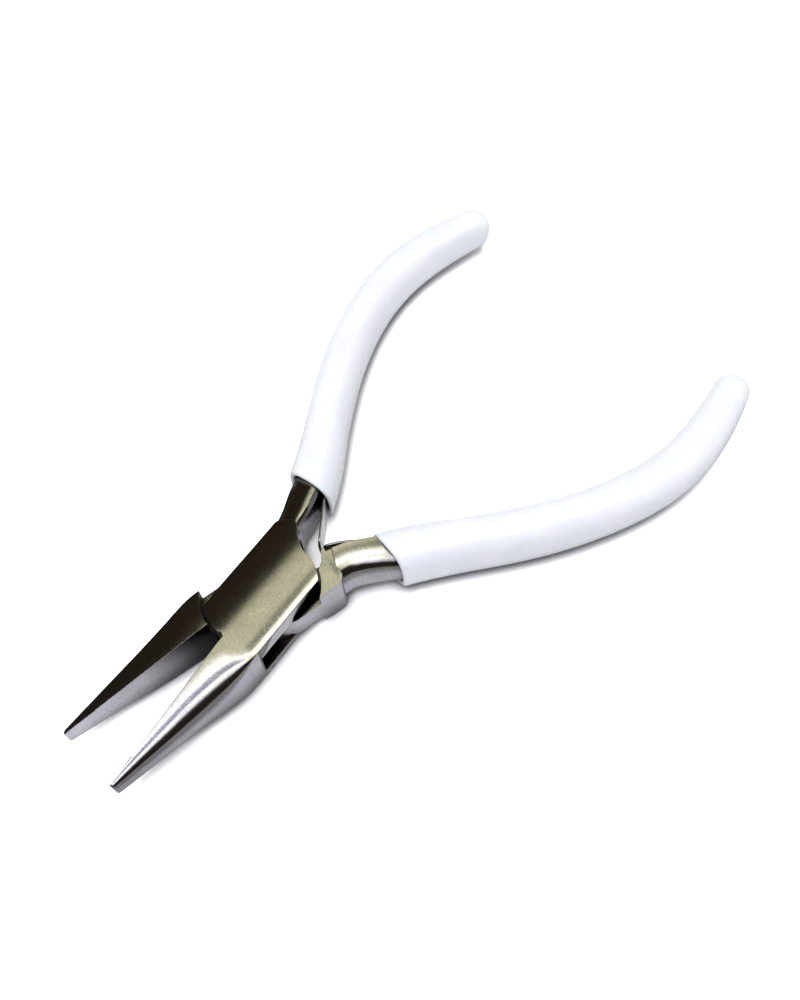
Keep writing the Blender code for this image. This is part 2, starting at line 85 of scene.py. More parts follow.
# dimensions in millimetres, which follow the CAD model's
JAW_LENGTH = 35.7
JAW_GAP = 0.1
BOX_HALF_WIDTH = 6.0
BOX_HALF_HEIGHT = 4.47
PIN_RADIUS = 2.3
SLOT_LOW = -2.95
SLOT_HIGH = 1.4
TONGUE_CLEARANCE = 0.15
TONGUE_RADIUS = 6.0
TONGUE_ARM_WIDTH = 6.4
SHOULDER_LOW = -4.35
SHOULDER_HIGH = 3.7
SLOT_WALL_RADIUS = 10.6
PLATE_FRONT_RADIUS = 9.8
PLATE_REAR_RADIUS = 8.15
JAW_SHOULDER_RADIUS = 10.15
SHANK_SHOULDER_RADIUS = 8.5

HANDLE_LENGTH = 69.2
HANDLE_HEADINGS = (21.4, 27.5, 20.1, 6.7, -15.4, -26.8)
MOUTH_X = -18.95
MOUTH_Y = 6.96
GRIP_HALF_WIDTHS = (3.6, 3.5, 3.45, 3.6, 2.9)
GRIP_HALF_HEIGHTS = (4.7, 4.9, 4.55, 3.9, 3.3)
GRIP_EXPONENT = 2.8
GRIP_WALL = 0.9
GRIP_MOUTH_X = -18.3
SPRING_BULGE = 0.85
SPRING_BULGE_LENGTH = 14.0
LIP_RADIUS = 0.42             # rounding of the coating's rim
SLEEVE_DEPTH = 6.0            # how far the sleeve's inner wall runs back from its mouth

LEAF_THICK = 0.42
LEAF_HALF_HEIGHT = 2.1
LEAF_GAP = 0.15
LEAF_END_ROUND = 0.9
LEAF_EXPONENT = 7.0           # a flat strip with narrow rounded edges
LEAF_ROOT = (4.6, 3.1, 1.6, 0.1)    # places of the root's line, behind the grip's mouth
RIVET_AT = 2.6
OUTER_BLADE = ((-17.85, -2.95), (-15.3, -1.3), (-13.4, -0.15), (-11.2, 1.25))
INNER_BLADE = ((-17.85, 2.9), (-15.9, 1.15), (-13.85, -0.15), (-11.3, -1.35))

EDGE_BREAK = 0.05             # small bevel on every ground edge
MERGE_DISTANCE = 0.015        # points of a cut surface that are closer than this become one
SLIVER_LENGTH = 0.01          # and its edges that are shorter than this go
THIN_EDGE = 0.03              # least half-thickness along the forged blank's side edges
THROUGH = 6.0                 # half-height of the cutters that pass right through a half
SHARP_ANGLE = math.radians(32)


# ---------------------------------------------------------------- curves and sections
def smooth_step(t):
    t = np.clip(t, 0.0, 1.0)
    return t * t * (3 - 2 * t)


def smooth_through(values, at):
    """A Catmull-Rom curve through equally spaced values, read at parameters from 0 to 1."""
    knots = np.asarray(values, float)
    place = np.clip(np.asarray(at, float), 0.0, 1.0) * (len(knots) - 1)
    first = np.minimum(place.astype(int), len(knots) - 2)
    t = place - first
    padded = np.concatenate(([2 * knots[0] - knots[1]], knots, [2 * knots[-1] - knots[-2]]))
    a, b, c, d = (padded[first + i] for i in range(4))
    return 0.5 * (2 * b + (c - a) * t + (2 * a - 5 * b + 4 * c - d) * t ** 2
                  + (3 * b - a - 3 * c + d) * t ** 3)


def monotone(xs, ys, at):
    """A smooth curve through (xs, ys) that never overshoots between its points."""
    xs = np.asarray(xs, float)
    ys = np.asarray(ys, float)
    gap = np.diff(xs)
    rise = np.diff(ys) / gap
    slope = np.zeros_like(ys)
    for i in range(1, len(xs) - 1):
        if rise[i - 1] * rise[i] > 0:
            before = 2 * gap[i] + gap[i - 1]
            after = gap[i] + 2 * gap[i - 1]
            slope[i] = (before + after) / (before / rise[i - 1] + after / rise[i])
    slope[0] = rise[0]
    slope[-1] = rise[-1]
    at = np.asarray(at, float)
    i = np.clip(np.searchsorted(xs, at) - 1, 0, len(gap) - 1)
    t = np.clip((at - xs[i]) / gap[i], 0.0, 1.0)
    return (ys[i] * (1 + 2 * t) * (1 - t) ** 2 + ys[i + 1] * t * t * (3 - 2 * t)
            + gap[i] * (slope[i] * t * (1 - t) ** 2 - slope[i + 1] * t * t * (1 - t)))


def columns(stations, at):
    """Every column of a station table after the first, read smoothly at places along the first."""
    table = np.asarray(stations, float)
    order = np.argsort(table[:, 0])
    table = table[order]
    return [monotone(table[:, 0], table[:, i], at) for i in range(1, table.shape[1])]


def arc(radius, start, end, steps=40):
    angles = np.radians(np.linspace(start, end, steps + 1))
    return [(radius * math.cos(a), radius * math.sin(a)) for a in angles]


def superellipse(half_width, half_height, exponent, count):
    points = []
    for i in range(count):
        angle = 2 * math.pi * (i + 0.5) / count
        c = math.cos(angle)
        s = math.sin(angle)
        across = math.copysign(abs(c) ** (2 / exponent), c) * half_width
        up = math.copysign(abs(s) ** (2 / exponent), s) * half_height
        points.append((across, up))
    return points


def handle_line(lengths):
    """Centreline points and headings at lengths behind the grip's mouth, bowed out to +Y."""
    steps = np.linspace(0.0, HANDLE_LENGTH, 401)
    headings = np.radians(smooth_through(HANDLE_HEADINGS, steps / HANDLE_LENGTH))
    stride = steps[1] - steps[0]
    run_x = np.concatenate(([0.0], np.cumsum(np.cos(headings[1:]) + np.cos(headings[:-1])) / 2))
    run_y = np.concatenate(([0.0], np.cumsum(np.sin(headings[1:]) + np.sin(headings[:-1])) / 2))
    ahead = np.minimum(lengths, 0.0)
    x = MOUTH_X - np.interp(lengths, steps, run_x * stride) - ahead * np.cos(headings[0])
    y = MOUTH_Y + np.interp(lengths, steps, run_y * stride) + ahead * np.sin(headings[0])
    return list(zip(x, y, np.interp(lengths, steps, headings)))


def place_section(section, x, y, heading, side):
    """Set an (across, up) section square to a line that runs back along -X, bowed to one side."""
    ring = []
    for across, up in section:
        ring.append((x + across * math.sin(heading), (y + across * math.cos(heading)) * side, up))
    return ring


# ---------------------------------------------------------------- meshes
def new_object(name, mesh):
    made = bpy.data.objects.new(name, mesh)
    bpy.context.scene.collection.objects.link(made)
    return made


def loft(name, rings):
    """A closed solid through rings of equal point counts, given in millimetres."""
    form = bmesh.new()
    loops = [[form.verts.new([c * MM for c in point]) for point in ring] for ring in rings]
    count = len(loops[0])
    for low, high in zip(loops, loops[1:]):
        for i in range(count):
            j = (i + 1) % count
            form.faces.new((low[i], low[j], high[j], high[i]))
    form.faces.new(loops[0])
    form.faces.new(loops[-1])
    bmesh.ops.recalc_face_normals(form, faces=form.faces)
    mesh = bpy.data.meshes.new(name)
    form.to_mesh(mesh)
    form.free()
    return new_object(name, mesh)


def prism(name, outline, low, high):
    """A closed solid from an outline in the XY plane, between two heights."""
    return loft(name, [[(x, y, z) for x, y in outline] for z in (low, high)])


def apply_modifiers(body):
    bpy.context.view_layer.update()
    evaluated = body.evaluated_get(bpy.context.evaluated_depsgraph_get())
    mesh = bpy.data.meshes.new_from_object(evaluated)
    body.modifiers.clear()
    body.data = mesh
    return body


def boolean(body, operation, other, finish=None):
    """Apply one exact Boolean. The faces that other leaves on body take finish, if it is given."""
    if finish:
        other.data.materials.append(finish)
    step = body.modifiers.new(operation.lower(), "BOOLEAN")
    step.operation = operation
    step.solver = "EXACT"
    step.material_mode = "TRANSFER"
    step.object = other
    apply_modifiers(body)
    bpy.data.objects.remove(other, do_unlink=True)


def break_edges(body):
    """Merge the Booleans' slivers, then put a small rounded bevel on every sharp edge."""
    form = bmesh.new()
    form.from_mesh(body.data)
    bmesh.ops.remove_doubles(form, verts=form.verts, dist=MERGE_DISTANCE * MM)
    bmesh.ops.dissolve_degenerate(form, edges=form.edges, dist=SLIVER_LENGTH * MM)
    form.to_mesh(body.data)
    form.free()
    bevel = body.modifiers.new("edge_break", "BEVEL")
    bevel.width = EDGE_BREAK * MM
    bevel.segments = 2
    bevel.limit_method = "ANGLE"
    bevel.angle_limit = SHARP_ANGLE
    bevel.use_clamp_overlap = False
    bevel.harden_normals = True
    body.data.shade_smooth()
    return apply_modifiers(body)


def smooth_shade(body, angle=SHARP_ANGLE):
    body.data.shade_smooth()
    body.data.set_sharp_from_angle(angle=angle)
    return body


def dress(piece, material, half):
    """Give a piece its first material and its slot, and turn its mesh open with its half."""
    if len(piece.data.materials) == 0:
        piece.data.materials.append(material)
    piece.data.materials[0] = material
    piece.data.transform(HALF_FRAMES[half])
    return piece


# ---------------------------------------------------------------- steel forms
# x, half-width, height above the mid-plane, exponent of the rounded part, its share of the section,
# and the underside's depth below the mid-plane and exponent
BLANK_STATIONS = (
    *((x, BOX_HALF_WIDTH, BOX_HALF_HEIGHT, 9.0, 0.0, BOX_HALF_HEIGHT, 9.0) for x in (-13.0, -6.0, 6.0)),
    (9.0, 6.0, 4.47, 6.0, 0.02, 4.47, 9.0), (10.2, 6.0, 4.42, 4.6, 0.12, 4.47, 9.0),
    (11.4, 6.0, 4.34, 3.6, 0.28, 4.46, 8.5),
    (13.0, 5.95, 4.15, 2.9, 0.5, 4.42, 7.5), (15.0, 5.7, 3.88, 2.5, 0.68, 4.3, 5.5),
    (17.5, 5.25, 3.54, 2.3, 0.8, 4.08, 4.2), (21.0, 4.5, 3.06, 2.15, 0.88, 3.7, 3.5),
    (25.0, 3.6, 2.51, 2.1, 0.92, 3.25, 3.3), (30.0, 2.4, 1.83, 2.05, 0.94, 2.75, 3.4),
    (34.6, 1.26, 1.16, 2.05, 0.95, 2.3, 3.8), (35.45, 1.02, 1.0, 2.05, 0.95, 2.2, 3.8),
    (JAW_LENGTH, 0.8, 0.84, 2.05, 0.95, 2.0, 3.8),
)
CROWN = 0.105                 # share of its height that the plate's face loses across its width
ROLL_OFF = 0.03               # and in the tighter roll-off along its long edges
ROLL_OFF_POWER = 9


def blank_top(across, half_height, exponent, rounded):
    """Height of the blank's top face, or depth of its underside, at a share of its half-width."""
    crowned = 1 - CROWN * across ** 2 - ROLL_OFF * across ** ROLL_OFF_POWER
    domed = (1 - across ** exponent) ** (1 / exponent)
    return half_height * ((1 - rounded) * crowned + rounded * domed)


def forged_blank(name, finish):
    """Both jaws and the joint block as one closed form, from which each half is cut."""
    places = np.concatenate((np.linspace(-13.0, 8.0, 8), np.linspace(8.5, 18.0, 39),
                             np.linspace(18.5, 34.5, 33), np.linspace(34.7, JAW_LENGTH, 9)))
    across = np.sin(np.linspace(-math.pi / 2, math.pi / 2, 49))
    rings = []
    for x, *section in zip(places, *columns(BLANK_STATIONS, places)):
        half_width, half_height, exponent, rounded, depth, under_exponent = section
        tops = [blank_top(abs(a), half_height, exponent, rounded) for a in across]
        undersides = [blank_top(abs(a), depth, under_exponent, rounded) for a in across]
        ring = [(x, a * half_width, max(z, THIN_EDGE)) for a, z in zip(across, tops)]
        ring += [(x, a * half_width, -max(z, THIN_EDGE))
                 for a, z in zip(across[::-1], undersides[::-1])]
        rings.append(ring)
    made = loft(name, rings)
    made.data.materials.append(finish)
    return made


BEVEL_SLOPE = 0.1             # how steeply the lowest part of the jaws' flat faces leans back
BEVEL_START = 11.5            # where the lean starts
BEVEL_DEPTH = 6.0             # depth of the cutting wedge, below the jaws
BEVEL_OVERLAP = 0.5           # how far it runs past the tip and past the closing plane


def face_bevel(name, side):
    """A wedge that leans the lower part of a jaw's flat face back from the other jaw."""
    places = np.linspace(BEVEL_START, JAW_LENGTH + BEVEL_OVERLAP, 20)
    heights = columns(BLANK_STATIONS, np.minimum(places, JAW_LENGTH))[1]
    rings = []
    for x, height in zip(places, heights):
        lean = BEVEL_SLOPE * (BEVEL_DEPTH - height)
        near = [(-BEVEL_OVERLAP, -height), (JAW_GAP, -height),
                (JAW_GAP + lean, -BEVEL_DEPTH), (-BEVEL_OVERLAP, -BEVEL_DEPTH)]
        rings.append([(x, y * side, z) for y, z in near])
    return loft(name, rings)


# x, distance from the closing plane, heading, half-width, half-height, and how far the top falls
# towards its inner edge
OUTER_SHANK = (
    (-6.5, 3.5, 6, 2.4, 3.5, 0.2), (-10.3, 4.37, 12, 2.43, 3.62, 0.2),
    (-11.7, 4.9, 13, 2.2, 3.62, 0.2), (-13.6, 5.33, 15, 2.35, 3.66, 0.22),
    (-15.4, 5.88, 19, 2.49, 3.72, 0.25), (-17.0, 6.4, 20.5, 2.58, 3.77, 0.25),
    (-18.6, 6.84, 21.4, 2.64, 3.82, 0.25),
)
INNER_SHANK = (
    (-6.0, 3.25, 2, 2.9, 4.08, -0.1), (-10.0, 3.35, 4, 2.75, 4.08, -0.1),
    (-12.6, 3.75, 14, 2.55, 4.08, -0.1), (-14.4, 4.42, 20, 2.54, 4.05, -0.1),
    (-17.2, 5.85, 21.8, 2.6, 3.95, -0.1), (-18.6, 6.66, 21.4, 2.66, 3.82, -0.1),
)
SHOULDER_TILT = 0.08            # slope of the shoulder's top, down towards its outer side
OVAL_START = 2.0                # mm into the sleeve where the section starts to turn oval
OVAL_FULL = 6.0                 # and where it has
STUB_START = 0.8                # mm into the sleeve where the shank takes the grip's own line
STUB_PAST_SLEEVE = 4.0          # how far the stub runs on behind the sleeve's inner wall
SHANK_EDGE = 0.02               # least half-thickness along a shank's side edges
SHANK_WALL = 1.0                # half-height of the upright part of a shank's outer side
SHANK_DOME = 2.25               # exponent of the curve from there over to its inner edge
INNER_REACH = 0.5               # share of its width over which the top falls to the inner edge


def shank_section(half_width, half_height, inner_drop, chamfer, oval, count=36):
    """Upright outer side rounding over to a flat inner side, which it meets in an edge."""
    top = []
    for i in range(count + 1):
        angle = math.pi * i / count
        turn = angle / 2
        share = math.cos(turn) ** (2 / SHANK_DOME)
        height = SHANK_WALL + (half_height - SHANK_WALL) * math.sin(turn) ** (2 / SHANK_DOME)
        height -= inner_drop * max(0.0, 1 - share / INNER_REACH) ** 2
        height -= max(0.0, chamfer - share * 2 * half_width)
        if i == 0:
            height = SHANK_EDGE
        across_oval = math.copysign(abs(math.cos(angle)) ** (2 / GRIP_EXPONENT), math.cos(angle))
        up_oval = math.sin(angle) ** (2 / GRIP_EXPONENT)
        wide = (1 - oval) * (2 * share - 1) + oval * across_oval
        high = (1 - oval) * height / half_height + oval * up_oval
        top.append((wide * half_width, max(high * half_height, SHANK_EDGE)))
    return top + [(a, -z) for a, z in top[::-1]]


def grip_sizes(length):
    """The grip's half-width and half-height at a length behind its mouth."""
    share = length / HANDLE_LENGTH
    return (float(smooth_through(GRIP_HALF_WIDTHS, share)),
            float(smooth_through(GRIP_HALF_HEIGHTS, share)))


def shank(name, side, stations, chamfer):
    """The shank from inside the joint, through the grip's mouth, to a stub inside the sleeve."""
    first = stations[0][0]
    last = stations[-1][0]
    places = np.linspace(first, last, 44)
    rings = []
    for x, *values in zip(places, *columns(stations, places)):
        y, heading, half_width, half_height, inner_drop = values
        section = shank_section(half_width, half_height, inner_drop, chamfer, 0.0)
        rings.append(place_section(section, x, y, math.radians(heading), side))
    inside = np.linspace(STUB_START, SLEEVE_DEPTH + STUB_PAST_SLEEVE, 8)
    for length, (x, y, heading) in zip(inside, handle_line(inside)):
        wide, tall = grip_sizes(length)
        oval = smooth_step((length - OVAL_START) / (OVAL_FULL - OVAL_START))
        section = shank_section(wide - GRIP_WALL, tall - GRIP_WALL, stations[-1][-1], chamfer, oval)
        rings.append(place_section(section, x, y, heading, side))
    return loft(name, rings)


RELIEF_Y = 6.7                  # middle of the relief, towards the passing arm's side
RELIEF_HALF_SPAN = 3.0


def plate_relief(name, low, high):
    """Where one plate thins towards its rear corner, above or below the passing arm."""
    outline = [(1.3, low), (0.9, low + (high - low) * 0.3), (0.1, low + (high - low) * 0.5),
               (-1.1, low + (high - low) * 0.63), (-2.5, low + (high - low) * 0.74),
               (-4.4, low + (high - low) * 0.89), (-6.5, high), (-10.5, high), (-10.5, low)]
    made = prism(name, outline, -RELIEF_HALF_SPAN, RELIEF_HALF_SPAN)
    for vertex in made.data.vertices:
        x, z, y = vertex.co
        vertex.co = (x, y + RELIEF_Y * MM, z)
    made.data.flip_normals()
    return made


def outer_half():
    """The jaw on the +Y side, the slotted joint block, and the shank on the -Y side."""
    body = forged_blank("outer_half_steel", HALF_STEEL["outer"])
    corner = math.degrees(math.asin(BOX_HALF_WIDTH / PLATE_FRONT_RADIUS))
    jaw_side = arc(PLATE_FRONT_RADIUS, -corner - 6, -0.6)
    jaw_side += [(PLATE_FRONT_RADIUS, JAW_GAP), (JAW_LENGTH + 2, JAW_GAP), (JAW_LENGTH + 2, -9.0)]
    jaw_side += [(7.0, -9.0)]
    boolean(body, "DIFFERENCE", prism("beside_jaw", jaw_side, -THROUGH, THROUGH))
    boolean(body, "DIFFERENCE", face_bevel("outer_face_bevel", 1), HALF_STEEL["outer"])
    rear = arc(PLATE_REAR_RADIUS, 128, 173)
    rear += [(-9.5, -1.2), (-11.0, -2.55), (-11.45, -3.15), (-11.5, -3.7), (-11.2, -4.4), (-10.7, -5.1)]
    rear += [(-10.1, -5.75), (-9.4, -6.4), (-15.0, -7.0), (-15.0, 8.0), (-5.0, 8.0)]
    boolean(body, "DIFFERENCE", prism("plate_rear", rear, -THROUGH, THROUGH))
    boolean(body, "UNION", shank("outer_shank", -1, OUTER_SHANK, 0.6))
    wall = math.degrees(math.asin(BOX_HALF_WIDTH / SLOT_WALL_RADIUS)) + 4
    slot = arc(SLOT_WALL_RADIUS, 0.3, wall) + [(8.0, 9.0), (-16.0, 9.0), (-16.0, 0.1)]
    slot += arc(SLOT_WALL_RADIUS, 180.3, 180 + wall) + [(-8.0, -9.0), (16.0, -9.0), (16.0, 0.0)]
    boolean(body, "DIFFERENCE", prism("slot", slot, SLOT_LOW, SLOT_HIGH), SHADED_SLOT_STEEL)
    boolean(body, "DIFFERENCE", plate_relief("relief_above", SLOT_HIGH - 0.2, 3.95), SHADED_SLOT_STEEL)
    boolean(body, "DIFFERENCE", plate_relief("relief_below", SLOT_LOW + 0.2, -3.95), SHADED_SLOT_STEEL)
    return break_edges(body)


def tongue():
    """The flat arm that passes through the slot, with a round boss about the pivot."""
    outline = [(12.5, -0.4), (TONGUE_RADIUS, -0.4)]
    outline += arc(TONGUE_RADIUS, 0, 88)
    outline += [(-1.0, TONGUE_ARM_WIDTH), (-8.0, TONGUE_ARM_WIDTH), (-9.0, TONGUE_ARM_WIDTH - 0.4)]
    outline += [(-9.9, 3.0), (-9.9, 1.2), (-TONGUE_RADIUS, 0.3)]
    outline += arc(TONGUE_RADIUS, 181, 270)
    outline += [(8.0, -BOX_HALF_WIDTH), (12.5, -BOX_HALF_WIDTH + 0.4)]
    return prism("tongue", outline, SLOT_LOW + TONGUE_CLEARANCE, SLOT_HIGH - TONGUE_CLEARANCE)


def inner_half():
    """The other jaw, its tongue through the slot, the shoulder behind it, and its shank."""
    body = forged_blank("inner_half_steel", HALF_STEEL["inner"])
    corner = math.degrees(math.asin(BOX_HALF_WIDTH / JAW_SHOULDER_RADIUS))
    jaw = ((5.0, -9.0), (JAW_LENGTH + 2, -9.0), (JAW_LENGTH + 2, -JAW_GAP), (5.0, -JAW_GAP))
    boolean(body, "INTERSECT", prism("keep_jaw", jaw, -THROUGH, THROUGH))
    boolean(body, "DIFFERENCE", face_bevel("inner_face_bevel", -1), HALF_STEEL["inner"])
    hollow = arc(JAW_SHOULDER_RADIUS, -corner - 12, 3) + [(0.0, 2.0), (0.0, -12.0)]
    boolean(body, "DIFFERENCE", prism("jaw_shoulder", hollow, -6.5, 6.5), SHADED_SLOT_STEEL)
    rear = shank("inner_shank", 1, INNER_SHANK, 0.0)
    block = ((-4.0, TONGUE_ARM_WIDTH), (-9.4, TONGUE_ARM_WIDTH), (-10.0, 6.1),
             (-10.6, 5.3), (-10.8, 0.1), (-4.0, -0.1))
    shoulder = prism("shoulder_block", block, SHOULDER_LOW, SHOULDER_HIGH)
    facet = ((-9.1, 7.0), (-11.5, 1.6), (-12.4, -1.0), (-4.0, -3.0), (-4.0, 8.0))
    above = prism("facet", facet, SHOULDER_HIGH - 0.01, THROUGH)
    for vertex in list(shoulder.data.vertices) + list(above.data.vertices):
        if vertex.co.z > 0:
            vertex.co.z -= SHOULDER_TILT * (vertex.co.y - 3.5 * MM)
    boolean(rear, "DIFFERENCE", above)
    boolean(rear, "UNION", shoulder)
    round_clear = arc(SHANK_SHOULDER_RADIUS, 100, 162)
    round_clear += [(-9.3, 1.6), (-10.6, -0.4), (-10.6, -9.0), (0.0, -9.0), (0.0, 9.0)]
    boolean(rear, "DIFFERENCE", prism("shank_shoulder", round_clear, -THROUGH, THROUGH), SHADED_SLOT_STEEL)
    boolean(body, "UNION", tongue())
    boolean(body, "UNION", rear)
    return break_edges(body)


PIN_TOP = 3.6                   # the pin's hidden upper end
PIN_PROUD = 0.02                # how far its foot stands out of the underside
PIN_FOOT_SHARE = 0.985          # of its radius, at the foot's rounded end
PIN_FULL = 0.015                # how far inside the underside it has its full radius


def pivot_pin():
    """Ground flush: only its lower end shows, as a hairline ring in the underside."""
    ring = superellipse(PIN_RADIUS, PIN_RADIUS, 2.0, 96)
    heights = ((-BOX_HALF_HEIGHT - PIN_PROUD, PIN_FOOT_SHARE), (-BOX_HALF_HEIGHT + PIN_FULL, 1.0),
               (PIN_TOP, 1.0))
    rings = [[(a * grow, b * grow, z) for a, b in ring] for z, grow in heights]
    return loft("pivot_pin_steel", rings)


# ---------------------------------------------------------------- dipped grips
TANG_CLEARANCE = 0.02           # between the tang and the sleeve's inner wall
SQUARE_MOUTH_FADE = 9.0         # mm over which the rings turn from the mouth's plane to the line's


def spring_bulge(length):
    """How far the coating stands out over the spring's root, fading to nothing behind it."""
    return SPRING_BULGE * (1 - float(smooth_step(length / SPRING_BULGE_LENGTH)))


def sleeve_section(wide, tall, bulge, inset, count=64):
    """The grip's oval, set in from its surface, with its inner side pushed out by the bulge."""
    section = superellipse(wide - inset, tall - inset, GRIP_EXPONENT, count)
    inner = (wide - inset + bulge) / (wide - inset)
    return [(a * inner if a < 0 else a, up) for a, up in section]


def dipped_grip(name, side):
    """A sleeve with a rounded rim, flat across at the dip line, and a round closed end."""
    first = handle_line([0.0])[0]
    mouth = -(GRIP_MOUTH_X - first[0]) / math.cos(first[2])
    rings = []

    def rim_ring(forward, inset):
        x = GRIP_MOUTH_X - LIP_RADIUS + forward
        y = first[1] - (x - first[0]) * math.tan(first[2])
        wide, tall = grip_sizes(0.0)
        section = sleeve_section(wide, tall, SPRING_BULGE, inset)
        section = [(a / math.cos(first[2]), up) for a, up in section]
        return place_section(section, x, y, 0.0, side)

    for length in (SLEEVE_DEPTH, 2.0):
        x, y, heading = handle_line([length])[0]
        wide, tall = grip_sizes(length)
        section = sleeve_section(wide, tall, spring_bulge(length), GRIP_WALL - TANG_CLEARANCE)
        rings.append(place_section(section, x, y, heading, side))
    for turn in np.radians(np.linspace(0, 90, 6)):
        rings.append(rim_ring(LIP_RADIUS * math.sin(turn),
                              GRIP_WALL - 2 * TANG_CLEARANCE - LIP_RADIUS * (1 - math.cos(turn))))
    for turn in np.radians(np.linspace(84, 0, 7)):
        rings.append(rim_ring(LIP_RADIUS * math.sin(turn), LIP_RADIUS * (1 - math.cos(turn))))
    end_radius = GRIP_HALF_WIDTHS[-1]
    body = np.linspace(mouth + LIP_RADIUS + 0.5, HANDLE_LENGTH - end_radius, 110)
    nose = HANDLE_LENGTH - end_radius * (1 - np.sin(np.radians(np.linspace(6, 88, 16))))
    lengths = [*body, *nose]
    for length, (x, y, heading) in zip(lengths, handle_line(lengths)):
        past = max(0.0, (length - (HANDLE_LENGTH - end_radius)) / end_radius)
        round_off = math.sqrt(1 - past ** 2)
        wide, tall = grip_sizes(length)
        section = sleeve_section(wide * round_off, tall * round_off, spring_bulge(length), 0.0)
        turned = float(smooth_step((length - mouth) / SQUARE_MOUTH_FADE))
        stretch = 1 / math.cos(heading * (1 - turned))
        section = [(a * stretch, up) for a, up in section]
        rings.append(place_section(section, x, y, heading * turned, side))
    return smooth_shade(loft(name, rings), math.radians(50))


# ---------------------------------------------------------------- leaf springs
def leaf_strip(name, side, blade):
    """One strip: its root lies on the tang inside the grip, its blade bows in to the other's."""
    seat = grip_sizes(RIVET_AT)[0] - GRIP_WALL + LEAF_GAP + LEAF_THICK / 2
    knots = []
    for x, y, heading in handle_line(LEAF_ROOT):
        knots.append((x - seat * math.sin(heading), (y - seat * math.cos(heading)) * side))
    knots = np.array([*knots, *blade])
    run = np.concatenate(([0.0], np.cumsum(np.linalg.norm(np.diff(knots, axis=0), axis=1))))
    places = np.linspace(0.0, run[-1], 72)
    slope = np.gradient(knots, run, axis=0)
    i = np.clip(np.searchsorted(run, places) - 1, 0, len(run) - 2)
    gap = (run[i + 1] - run[i])[:, None]
    t = ((places - run[i]) / gap[:, 0])[:, None]
    line = (knots[i] * (1 + 2 * t) * (1 - t) ** 2 + knots[i + 1] * t * t * (3 - 2 * t)
            + gap * (slope[i] * t * (1 - t) ** 2 - slope[i + 1] * t * t * (1 - t)))
    along = np.gradient(line, axis=0)
    along /= np.linalg.norm(along, axis=1)[:, None]
    rings = []
    for place, (x, y), (dx, dy) in zip(places, line, along):
        left = (run[-1] - place) / LEAF_END_ROUND
        trim = 0.0 if left > 1 else LEAF_END_ROUND * (1 - math.sqrt(max(0.0, 1 - (1 - left) ** 2)))
        section = superellipse(LEAF_THICK / 2, LEAF_HALF_HEIGHT - trim, LEAF_EXPONENT, 24)
        rings.append([(x - dy * a, y + dx * a, up) for a, up in section])
    return smooth_shade(loft(name, rings), math.radians(60))


# ---------------------------------------------------------------- materials
def node(tree, kind, **settings):
    made = tree.nodes.new(kind)
    for name, value in settings.items():
        setattr(made, name, value)
    return made


def math_node(tree, operation, *values):
    made = node(tree, "ShaderNodeMath", operation=operation)
    for socket, value in zip(made.inputs, values):
        if isinstance(value, bpy.types.NodeSocket):
            tree.links.new(value, socket)
        else:
            socket.default_value = value
    return made.outputs[0]


def noise(tree, coordinates, stretch_mm, detail=2.0, roughness=0.5):
    """Noise whose grains measure stretch_mm along the half's three axes."""
    mapping = node(tree, "ShaderNodeMapping")
    mapping.inputs["Scale"].default_value = [1 / (size * MM) for size in stretch_mm]
    tree.links.new(coordinates, mapping.inputs["Vector"])
    made = node(tree, "ShaderNodeTexNoise")
    made.inputs["Scale"].default_value = 1.0
    made.inputs["Detail"].default_value = detail
    made.inputs["Roughness"].default_value = roughness
    tree.links.new(mapping.outputs["Vector"], made.inputs["Vector"])
    return made.outputs["Fac"]


def spread(tree, value, low, high, to_low=0.0, to_high=1.0):
    """Map a value's range onto another, clamped."""
    made = node(tree, "ShaderNodeMapRange")
    for name, number in (("From Min", low), ("From Max", high), ("To Min", to_low), ("To Max", to_high)):
        made.inputs[name].default_value = number
    tree.links.new(value, made.inputs["Value"])
    return made.outputs["Result"]


def mix_colour(tree, factor, first, second, blend="MIX"):
    made = node(tree, "ShaderNodeMix", data_type="RGBA", blend_type=blend)
    for socket, value in ((made.inputs["Factor"], factor), (made.inputs["A"], first),
                          (made.inputs["B"], second)):
        if isinstance(value, bpy.types.NodeSocket):
            tree.links.new(value, socket)
        else:
            socket.default_value = value if isinstance(value, float) else (*value, 1.0)
    return made.outputs["Result"]


def new_material(name, half):
    """A node material, its shader, and coordinates that lie along one half of the pliers."""
    made = bpy.data.materials.new(name)
    made.use_nodes = True
    tree = made.node_tree
    shader = tree.nodes["Principled BSDF"]
    along_half = node(tree, "ShaderNodeMapping")
    along_half.inputs["Rotation"].default_value = HALF_FRAMES[half].inverted().to_euler()
    tree.links.new(node(tree, "ShaderNodeTexCoord").outputs["Object"], along_half.inputs["Vector"])
    return made, tree, shader, along_half.outputs["Vector"]


def painted_recess_shade(tree, reach_mm, depth):
    """Painted shade: a grey that falls from white in the open to black in a narrow gap."""
    occlusion = node(tree, "ShaderNodeAmbientOcclusion", samples=5)
    occlusion.inputs["Distance"].default_value = reach_mm * MM
    return math_node(tree, "POWER", occlusion.outputs["AO"], depth)


# painted shade on the jaws' flat faces, darkest towards the joint, standing in for the dark they mirror there
THROAT_DARK = 13.0              # mm from the pivot where the jaw's flat face is darkest
THROAT_CLEAR = 22.0             # and where it is fully bright
THROAT_BACK = (8.0, 8.5)        # it starts between these distances from the pivot
FLAT_FACE = (0.3, 0.5)          # and ends between these distances from the closing plane
JOINT_TONE_END = 13.0           # where the upward faces' painted warm tone starts to give way to the jaws'
JAW_TONE_START = 22.0           # and where it has
JAW_TONE = (0.62, 0.605, 0.595)


